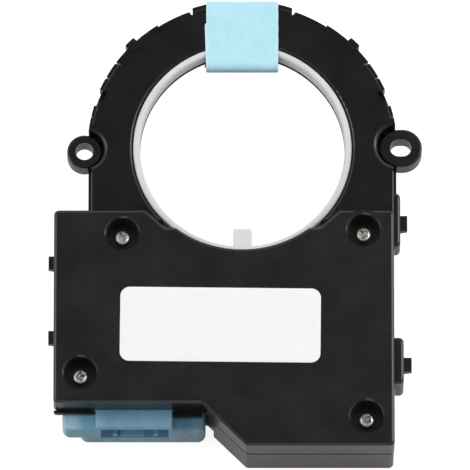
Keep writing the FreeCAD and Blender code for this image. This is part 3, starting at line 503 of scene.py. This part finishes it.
# %% Measure the solids
def solid_points(name):
    """Corner points of a solid in millimetres, one row each."""
    solid = nodes[name]
    local = np.empty(len(solid.data.vertices) * 3)
    solid.data.vertices.foreach_get("co", local)
    turn = np.array(solid.matrix_world)
    return (local.reshape(-1, 3) @ turn[:3, :3].T + turn[:3, 3]) / MM


def box_of(points):
    """Lowest and highest corner of the box round the points."""
    return points.min(0), points.max(0)


def four_groups(points, middle):
    """The points split into left rear, right rear, left front and right front of a middle point."""
    left, rear = points[:, 0] < middle[0], points[:, 1] > middle[1]
    return [points[left & rear], points[~left & rear], points[left & ~rear], points[~left & ~rear]]


def turned_back(points, turn):
    """Points in the plane after undoing a turn about the origin."""
    c, s = math.cos(turn), math.sin(turn)
    return points[:, :2] @ np.array([[c, -s], [s, c]])


label_turn = math.radians(-0.6)
label_points = solid_points("label")
label_low, label_high = box_of(label_points)
label_flat_low, label_flat_high = box_of(turned_back(label_points, label_turn))
tape_low, tape_high = box_of(solid_points("transit_tape"))
screw_boxes = [box_of(group) for group in four_groups(solid_points("cover_screws"), (0.0, -45.0))]
screw_places = [(low + high)[:2] / 2 for low, high in screw_boxes]
screw_top = screw_boxes[0][1][2]
print("label mm:", np.round(label_flat_high - label_flat_low, 2))
print("tape mm:", np.round(tape_high - tape_low, 2))
print("screws at:", [np.round(place, 1).tolist() for place in screw_places])

# %% [markdown]
# ## Label
# The label is a white plastic film with round corners, stuck on the flat of the cover. A box
# would be too hard at the rim: a cut film has a tiny rounded lip that catches a line of light.
# So its outline is drawn once and carried up in rings that step in at the top. It is left blank.

# %% Label film
def rounded_outline(half_x, half_y, radius, per_corner=10):
    """Outline of a rounded rectangle: a quarter circle of the given radius about each inner corner."""
    turn = np.linspace(0, math.pi / 2, per_corner)
    angles = (turn[None, :] + np.arange(4)[:, None] * math.pi / 2).ravel()
    side_x = np.repeat([1, -1, -1, 1], per_corner) * (half_x - radius)
    side_y = np.repeat([1, 1, -1, -1], per_corner) * (half_y - radius)
    return np.stack([side_x + radius * np.cos(angles), side_y + radius * np.sin(angles)], -1)


def label_rings(half_x, half_y, radius, thickness, centre, turn, bottom):
    """Rings at growing heights; each is the outline drawn in by an inset that follows a round lip."""
    insets = np.array([0.0, 0.0, 0.01, 0.03, 0.3, 2.0])
    heights = np.array([0.0, 0.7, 0.92, 1.0, 1.0, 1.0]) * thickness + bottom
    flat = np.stack([rounded_outline(half_x - i, half_y - i, radius - i) for i in insets])
    c, s = math.cos(turn), math.sin(turn)
    turned = flat @ np.array([[c, s], [-s, c]]) + centre
    level_z = np.broadcast_to(heights[:, None, None], turned.shape[:2] + (1,))
    return np.concatenate([turned, level_z], -1)


def label_film():
    """White film: a faint fibre tint, a satin shine and a slight waviness from being pressed on."""
    material = new_finish("label_film", IOR=1.46, Coat_Weight=0.25, Coat_Roughness=0.2)
    fibre = grain(material, 3.0, 4.0)
    feed_shader(material, "Base Color", tone(material, fibre, (0.95, 0.95, 0.96), (0.975, 0.975, 0.98)))
    feed_shader(material, "Roughness", level(material, grain(material, 1.0), 0.42, 0.55))
    fine = relief(material, grain(material, 0.15, 1.0), 0.0008)
    feed_shader(material, "Normal", relief(material, grain(material, 12.0, 1.0), 0.02, fine))
    return material


label_finish = label_film()
print("finish made:", label_finish.name)

# %% The label
label_corner = 2.4
half_x, half_y = (label_flat_high - label_flat_low) / 2
centre = (label_low + label_high)[:2] / 2
thickness = label_high[2] - label_low[2]
rings = label_rings(half_x, half_y, label_corner, thickness, centre, label_turn, label_low[2])
points, faces = closed_stack(rings)
make_piece("label_sheet", points, faces, label_finish, "housing", "label")

# %% [markdown]
# ## Transit tape
# A strip of pale blue film is wound once round the top of the ring and through the bore, so that
# the rotor can't turn in the post. A box bent by hand would keep hard corners, so the strip is a
# thin flat outline carried along a rounded path. The path is a little longer than one turn, so
# the end lies over the start on the underside, and the left rim has a small nick where the strip
# was torn off the roll.

# %% Path of the tape
tape_spacing, tape_start, tape_overlap = 0.12, 0.66, 7.0


def rounded_path(corners, radii, start, spacing, per_arc=14):
    """Open path once round a polygon with straight runs and an arc of each corner's own radius.

    With unit vectors a and b from a corner to its neighbours and t the angle between them, the arc
    begins r / tan(t/2) along a, ends as far along b, and its middle is r / sin(t/2) along a + b.
    Between, its points turn evenly: (sin((1-s)(pi-t)) u + sin(s(pi-t)) w) / sin(pi-t).
    The whole line is then sampled at an even spacing, beginning at start, a share of its length.
    """
    pieces = []
    for k, (corner, radius) in enumerate(zip(corners, radii)):
        a, b = corners[k - 1] - corner, corners[(k + 1) % len(corners)] - corner
        a, b = a / np.linalg.norm(a), b / np.linalg.norm(b)
        half = math.acos(a @ b) / 2
        centre = corner + (a + b) / np.linalg.norm(a + b) * radius / math.sin(half)
        u = corner + a * radius / math.tan(half) - centre
        w = corner + b * radius / math.tan(half) - centre
        turn = math.pi - 2 * half
        s = np.linspace(0, 1, per_arc)[:, None]
        pieces.append(centre + (np.sin((1 - s) * turn) * u + np.sin(s * turn) * w) / math.sin(turn))
    line = np.concatenate(pieces + [pieces[0][:1]])
    length = np.concatenate([[0], np.cumsum(np.linalg.norm(np.diff(line, axis=0), axis=1))])
    steps = np.arange(0, length[-1], spacing) + start * length[-1]
    wrapped = steps % length[-1]
    return np.stack([np.interp(wrapped, length, line[:, i]) for i in (0, 1)], -1), length[-1]


def tape_middle(corners, radii):
    """Middle line of the strip in the Y-Z plane, its outward normal, the distance run and one turn."""
    path, length = rounded_path(np.array(corners, float), radii, tape_start, tape_spacing)
    path = np.concatenate([path, path[:int(tape_overlap / tape_spacing)]])
    along = np.gradient(path, axis=0)
    along /= np.linalg.norm(along, axis=1)[:, None]
    normal = np.stack([along[:, 1], -along[:, 0]], -1)
    middle = path.mean(0)
    normal *= np.sign(np.einsum("ij,ij->i", normal, path - middle))[:, None]
    return path, normal, np.arange(len(path)) * tape_spacing, length


half_solid = 0.1
upper_fold, lower_fold = 19.48, 24.26
top, rear, bottom = tape_high[2] - half_solid, tape_high[1] - half_solid, tape_low[2] + half_solid
corners = [(upper_fold, top), (rear, top), (rear, bottom), (lower_fold, bottom)]
path, normal, distance, length = tape_middle(corners, (0.9, 0.4, 0.4, 0.4))
print("tape path mm:", round(length, 1), "samples:", len(path))

# %% The strip itself
torn_at, taper_run, fold_at = 32.9, 12.9, 19.9
above_middle, near_top = 12, 17
film_thickness = 0.1


def strip_rims(path):
    """Left and right rim along the path, in millimetres; y is the place on the ring from front to rear.

    The nick and the fold are bell curves, the step is a smooth rise, the taper a straight one, and the
    right rim waves a little. All draw the strip in; nick, step and taper only on its upper run.
    """
    y, upper, highest = path[:, 0], path[:, 1] > above_middle, path[:, 1] > near_top
    nick = 0.22 * np.exp(-((y - torn_at) / 0.25) ** 2) * highest
    step = 0.4 / (1 + np.exp(-(y - torn_at) / 0.1)) * upper
    taper = 0.4 * np.clip((torn_at - y) / taper_run, 0, 1) * upper
    fold = 0.3 * np.exp(-((y - fold_at) / 0.45) ** 2)
    left = tape_low[0] + 0.03 + nick + step + taper + fold
    right = tape_high[0] - 0.04 - 0.06 * np.sin(y * 0.9) ** 2 - fold
    return left, right


def strip_points(path, normal, distance, length, thickness, columns=40, climb=4.0):
    """Thin outline, pointed at the rims, carried along the path; the second layer lies further out.

    Points are path + normal * (layer + half thickness * outline + ripple), with x across the strip.
    The layer grows from 0 to just over one thickness within climb millimetres before the full turn.
    """
    across = np.linspace(0, 1, columns)
    share = np.concatenate([across, across[::-1]])[None, :]
    side = np.concatenate([np.ones(columns), -np.ones(columns)])[None, :]
    rim = np.clip(np.minimum(share, 1 - share) * columns, 0, 1) ** 0.5
    left, right = strip_rims(path)
    x = left[:, None] + (right - left)[:, None] * share
    layer = np.clip((distance - length + climb) / climb, 0, 1)[:, None] * thickness * 1.02
    ripple = 0.007 * np.sin(x * 1.3 + distance[:, None] * 0.4) * np.sin(x * 0.45 + 1.0)
    height = layer + 0.5 * thickness * side * rim + ripple * np.clip(layer * -10 + 1, 0, 1)
    yz = path[:, None, :] + normal[:, None, :] * height[..., None]
    return np.concatenate([x[..., None], yz], -1)


strip = strip_points(path, normal, distance, length, film_thickness)
print("strip rings:", strip.shape[0], "of", strip.shape[1], "points")

# %% Film of the tape
# Bands in millimetres: the rims take a painted highlight, the turn into the bore takes painted shade.
rim_highlight_band = (8.5, 9.2)
fold_shade_span = (22.8, 19.5)


def tape_film():
    """Pale blue film with fine fibres, a painted highlight at its cut rims, painted shade where it turns
    into the bore.

    The rims are told by the distance from the middle in X, the turn by the place in Y, in millimetres.
    """
    material = new_finish("tape_film", IOR=1.46, Subsurface_Weight=0.1, Subsurface_Scale=0.0005)
    fibres = grain(material, 2.2, 5.0, (1.0, 0.45, 1.0))
    body = tone(material, fibres, (0.48, 0.83, 0.95), (0.54, 0.87, 0.97))
    # Painted highlight tone at the cut rims, then painted shade tone where the strip turns into the bore.
    rim_highlight = tone(material, fibres, (0.72, 0.92, 0.98), (0.85, 0.96, 0.99))
    turned = tone(material, fibres, (0.22, 0.42, 0.50), (0.27, 0.48, 0.57))
    place = distances(material)
    off_middle = arithmetic(material.node_tree, "ABSOLUTE", place["X"])
    rim_highlight_share = level(material, off_middle, 0, 0.7, rim_highlight_band[0] * MM, rim_highlight_band[1] * MM)
    sheet = blend(material, rim_highlight_share, body, rim_highlight)
    edges = {"From_Min": fold_shade_span[0] * MM, "From_Max": fold_shade_span[1] * MM}
    fold = add_node(material, "MapRange", Value=place["Y"], **edges)
    fold.interpolation_type = "SMOOTHSTEP"
    feed_shader(material, "Base Color", blend(material, fold.outputs["Result"], sheet, turned))
    feed_shader(material, "Roughness", level(material, grain(material, 1.2), 0.4, 0.56))
    fine = relief(material, grain(material, 0.12, 2.0), 0.0012)
    waves = grain(material, 4.0, 2.0, (1.0, 0.5, 1.0))
    feed_shader(material, "Normal", relief(material, waves, 0.014, fine))
    return material


points, faces = closed_stack(strip)
make_piece("tape_strip", points, faces, tape_film(), "housing", "transit_tape", 60)

# %% [markdown]
# ## Cover screws
# Four small pan head screws hold the shells together. The head is pressed with a cross, and it is
# flat in the middle, with a bevel and a round edge. It is made as a height over a square grid bent
# onto a disc, which keeps the grid fine and even where the cross sinks in. The shank below is a
# stack of rings whose radius goes in and out with the thread.

# %% Screw head
head_radius, head_height = 1.95, 1.6
cross_width, cross_reach, cross_depth = 0.72, 1.3, 0.95


def disc_grid(count):
    """Square grid from -1 to 1 bent onto a disc: x * sqrt(1 - y*y/2) and y * sqrt(1 - x*x/2)."""
    line = np.linspace(-1, 1, count)
    x, y = np.meshgrid(line, line, indexing="ij")
    return x * np.sqrt(1 - y * y / 2), y * np.sqrt(1 - x * x / 2)


def cross_arms(along, across, wall=0.09, ramp=0.35):
    """How deep two arms in line are: 1 on their floor, sloping to 0 over the wall and the end ramp."""
    inside = np.clip((cross_width / 2 - np.abs(across)) / wall, 0, 1)
    return inside * np.clip((cross_reach - np.abs(along)) / ramp, 0, 1)


def crown_height(x, y, bevel_from=1.15, slope=0.27, edge_drop=0.3):
    """Height of the head at a point: flat, then a bevel and a round edge, minus the cross.

    With r the distance from the axis, the crown is head_height - slope * (r - bevel_from) where r is
    past bevel_from, less edge_drop * (r / head_radius) ** 12, which only bends the very edge.
    """
    r = np.hypot(x, y)
    crown = head_height - slope * np.maximum(0, r - bevel_from) - edge_drop * (r / head_radius) ** 12
    return crown - cross_depth * np.maximum(cross_arms(x, y), cross_arms(y, x))


x, y = disc_grid(5)
print("crown from rim to rim:", np.round(crown_height(x * head_radius, y * head_radius)[2], 2))

# %% Thread and point
shank_radius, thread_height, thread_pitch, screw_length = 0.86, 0.24, 0.8, 7.9
point_end, point_length = 8.0, 1.3


def screw_mesh(count=56, rows=66):
    """Head on a square grid, then rings down the rim, the flat below it, the thread and the point.

    The shank's radius is (shank_radius + thread_height * (1 - wave) ** 0.8) * narrow, where the wave
    runs from 0 to 1 and back once a pitch and once a turn, and narrow shrinks along the point.
    """
    x, y = disc_grid(count)
    x, y = x * head_radius, y * head_radius
    top = np.stack([x, y, crown_height(x, y)], -1).reshape(-1, 3)
    index = np.arange(count * count).reshape(count, count)
    quads = np.stack([index[:-1, :-1], index[1:, :-1], index[1:, 1:], index[:-1, 1:]], -1).reshape(-1, 4)
    rim = np.concatenate([index[:-1, 0], index[-1, :-1], index[:0:-1, -1], index[0, :0:-1]])
    angle = np.arctan2(top[rim, 1], top[rim, 0])
    thread = np.linspace(-0.05, -screw_length, rows)[:, None]
    wave = np.abs(((thread / thread_pitch + angle[None, :] / (2 * math.pi)) % 1) * 2 - 1)
    narrow = np.clip((thread + point_end) / point_length, 0.12, 1)
    shank = (shank_radius + thread_height * (1 - wave) ** 0.8) * narrow
    rim_radii = [head_radius, head_radius, head_radius - 0.1, shank_radius + thread_height]
    radius = np.concatenate([np.array(rim_radii)[:, None] * np.ones(len(angle)), shank])
    down = np.concatenate([np.array([1.0, 0.1, 0.0, 0.0])[:, None], thread])
    height = np.broadcast_to(down, radius.shape)
    rings = np.stack([radius * np.cos(angle), radius * np.sin(angle), height], -1)
    return top, quads, rim, rings


def all_screws(places, turns, seat):
    """The screw at each place, turned in degrees as its driver left it, its rings joined to its head."""
    top, quads, rim, rings = screw_mesh()
    count, columns, _ = rings.shape
    local = np.concatenate([top, rings.reshape(-1, 3), rings[-1:].mean(1)])
    first = len(top)
    side = grid_faces(count, columns)[:, ::-1] + first
    on = np.roll(np.arange(columns), -1)
    here = np.arange(columns)
    collar = np.stack([rim[here], first + here, first + on, rim[on]], -1)
    last = first + (count - 1) * columns
    tip = np.stack([np.full(columns, len(local) - 1), last + on, last + here], -1)
    points, blocks = [], [[], [], [], []]
    for k, ((x, y), turn) in enumerate(zip(places, turns)):
        c, s = math.cos(math.radians(turn)), math.sin(math.radians(turn))
        points.append(local @ np.array([[c, s, 0], [-s, c, 0], [0, 0, 1]]) + (x, y, seat))
        for block, part in zip(blocks, (quads, side, collar, tip)):
            block.append(part + k * len(local))
    reach = np.tile(np.hypot(local[:, 0], local[:, 1]), len(places))
    return np.concatenate(points), [np.concatenate(block) for block in blocks], reach


screw_turns = (20.0, 38.0, 8.0, 52.0)
points, faces, reach = all_screws(screw_places, screw_turns, screw_top - head_height)
print("screws:", len(screw_places), "points:", len(points))

# %% Steel of the screws
# Within the first reach of the axis the tone is dirt and painted shade; past the second it is a painted
# highlight.
dirt_and_shade_reach, bevel_highlight_reach = 1.1, 1.35


def screw_steel():
    """Zinc plated steel: mottled and browner round the cross, partly dirt and partly painted shade, with
    a painted highlight on the bevel.

    The attribute from_axis holds each point's distance from its screw's axis, in millimetres.
    """
    material = new_finish("screw_steel", Metallic=1.0)
    cloud = grain(material, 0.7, 4.0)
    reach = add_node(material, "Attribute")
    reach.attribute_name = "from_axis"
    # The middle tone mixes dirt with painted shade round the cross; the bevel tone is a painted
    # highlight.
    bevel_highlight_share = level(material, reach.outputs["Fac"], 0.0, 1.0, dirt_and_shade_reach, bevel_highlight_reach)
    middle = tone(material, cloud, (0.30, 0.24, 0.19), (0.93, 0.89, 0.84), 0.40, 0.56)
    bevel_painted_highlight = tone(material, cloud, (0.80, 0.79, 0.77), (0.99, 0.985, 0.97), 0.36, 0.50)
    feed_shader(material, "Base Color", blend(material, bevel_highlight_share, middle, bevel_painted_highlight))
    feed_shader(material, "Roughness", level(material, grain(material, 0.5, 3.0), 0.24, 0.4))
    feed_shader(material, "Normal", relief(material, grain(material, 0.5, 2.0), 0.05))
    return material


screws = make_piece("screw_set", points, faces, screw_steel(), "housing", "cover_screws", 40)
screws.data.attributes.new("from_axis", "FLOAT", "POINT").data.foreach_set("value", reach)

# %% [markdown]
# ## What the case hides
# With the cover off, a repairer sees a green circuit board, a thin tray that carries the two
# gears, small dark chips, pale ceramic parts, a silver can, tin plated pins and two dark magnets.
# Nobody sees them in the picture, but they are real pieces, so each gets its own finish.

# %% Circuit board and tray
def board_lacquer():
    """Green lacquer over copper: tracks are the edges of square cells, paler over the copper."""
    material = new_finish("board_lacquer", Roughness=0.32, IOR=1.5, Coat_Weight=0.4, Coat_Roughness=0.15)
    place = place_on(material, (1.0, 1.0, 0.0))
    cells = add_node(material, "TexVoronoi", Vector=place, Scale=260.0, Randomness=0.35)
    cells.distance, cells.feature = "CHEBYCHEV", "F1"
    tracks = cells.outputs["Distance"]
    green = tone(material, tracks, (0.012, 0.085, 0.035), (0.03, 0.17, 0.06), 0.36, 0.4)
    feed_shader(material, "Base Color", green)
    feed_shader(material, "Normal", relief(material, level(material, tracks, 0.0, 1.0, 0.36, 0.4), 0.03))
    return material


def tray_plastic():
    """Dark grey filled plastic with a dull, slightly mottled face."""
    material = new_finish("tray_plastic", IOR=1.5)
    spots = grain(material, 2.5, 4.0)
    feed_shader(material, "Base Color", tone(material, spots, (0.03, 0.03, 0.032), (0.055, 0.055, 0.058)))
    feed_shader(material, "Roughness", level(material, grain(material, 1.0), 0.45, 0.65))
    feed_shader(material, "Normal", relief(material, grain(material, 0.25, 2.0), 0.006))
    return material


dress("circuit_board", board_lacquer())
dress("gear_tray", tray_plastic())
print("board and tray dressed")

# %% Chips, ceramic parts, can, magnets and pins
def plain_grained(name, dark, light, spot_mm, rough, depth_mm, metal=0.0, spread=0.08):
    """Finish with a spotted tone, a roughness about the given one and a relief of the same spots."""
    material = new_finish(name, Metallic=metal)
    spots = grain(material, spot_mm, 3.0)
    feed_shader(material, "Base Color", tone(material, spots, dark, light))
    feed_shader(material, "Roughness", level(material, spots, rough - spread, rough + spread))
    feed_shader(material, "Normal", relief(material, spots, depth_mm))
    return material


chip_face = plain_grained("chip_resin", (0.012, 0.012, 0.013), (0.026, 0.026, 0.028), 0.15, 0.6, 0.004)
for chip in ("angle_chip_a", "angle_chip_b", "controller_chip", "bus_chip", "voltage_regulator"):
    dress(chip, chip_face)
ceramic = plain_grained("fired_ceramic", (0.42, 0.31, 0.20), (0.55, 0.43, 0.30), 0.2, 0.4, 0.003)
for small in ("capacitor_1", "capacitor_2", "capacitor_3", "resonator"):
    dress(small, ceramic)
can = plain_grained("drawn_can", (0.62, 0.63, 0.65), (0.80, 0.81, 0.82), 0.5, 0.3, 0.003, 1.0)
dress("supply_capacitor", can)
magnet_coat = plain_grained("magnet_coat", (0.10, 0.10, 0.11), (0.18, 0.18, 0.19), 0.2, 0.35, 0.004, 0.6)
for magnet in ("magnet_a", "magnet_b"):
    dress(magnet, magnet_coat)
pin_plate = plain_grained("tinned_brass", (0.62, 0.52, 0.30), (0.80, 0.72, 0.46), 0.4, 0.26, 0.003, 1.0)
for number in range(1, 9):
    dress(f"connector_pin_{number}", pin_plate)
print("hidden pieces dressed")

# %% [markdown]
# ## Sizes and the end
# The growth of the dressed part's box over the solids' box is printed. The dressed part must be
# no bigger than the solids.

# %% Sizes, and the finish
dressed_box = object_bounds()
solid_size, dressed_size = solid_box[1] - solid_box[0], dressed_box[1] - dressed_box[0]
print("grew by mm:", [round((b - a) / MM, 3) for a, b in zip(solid_size, dressed_size)])
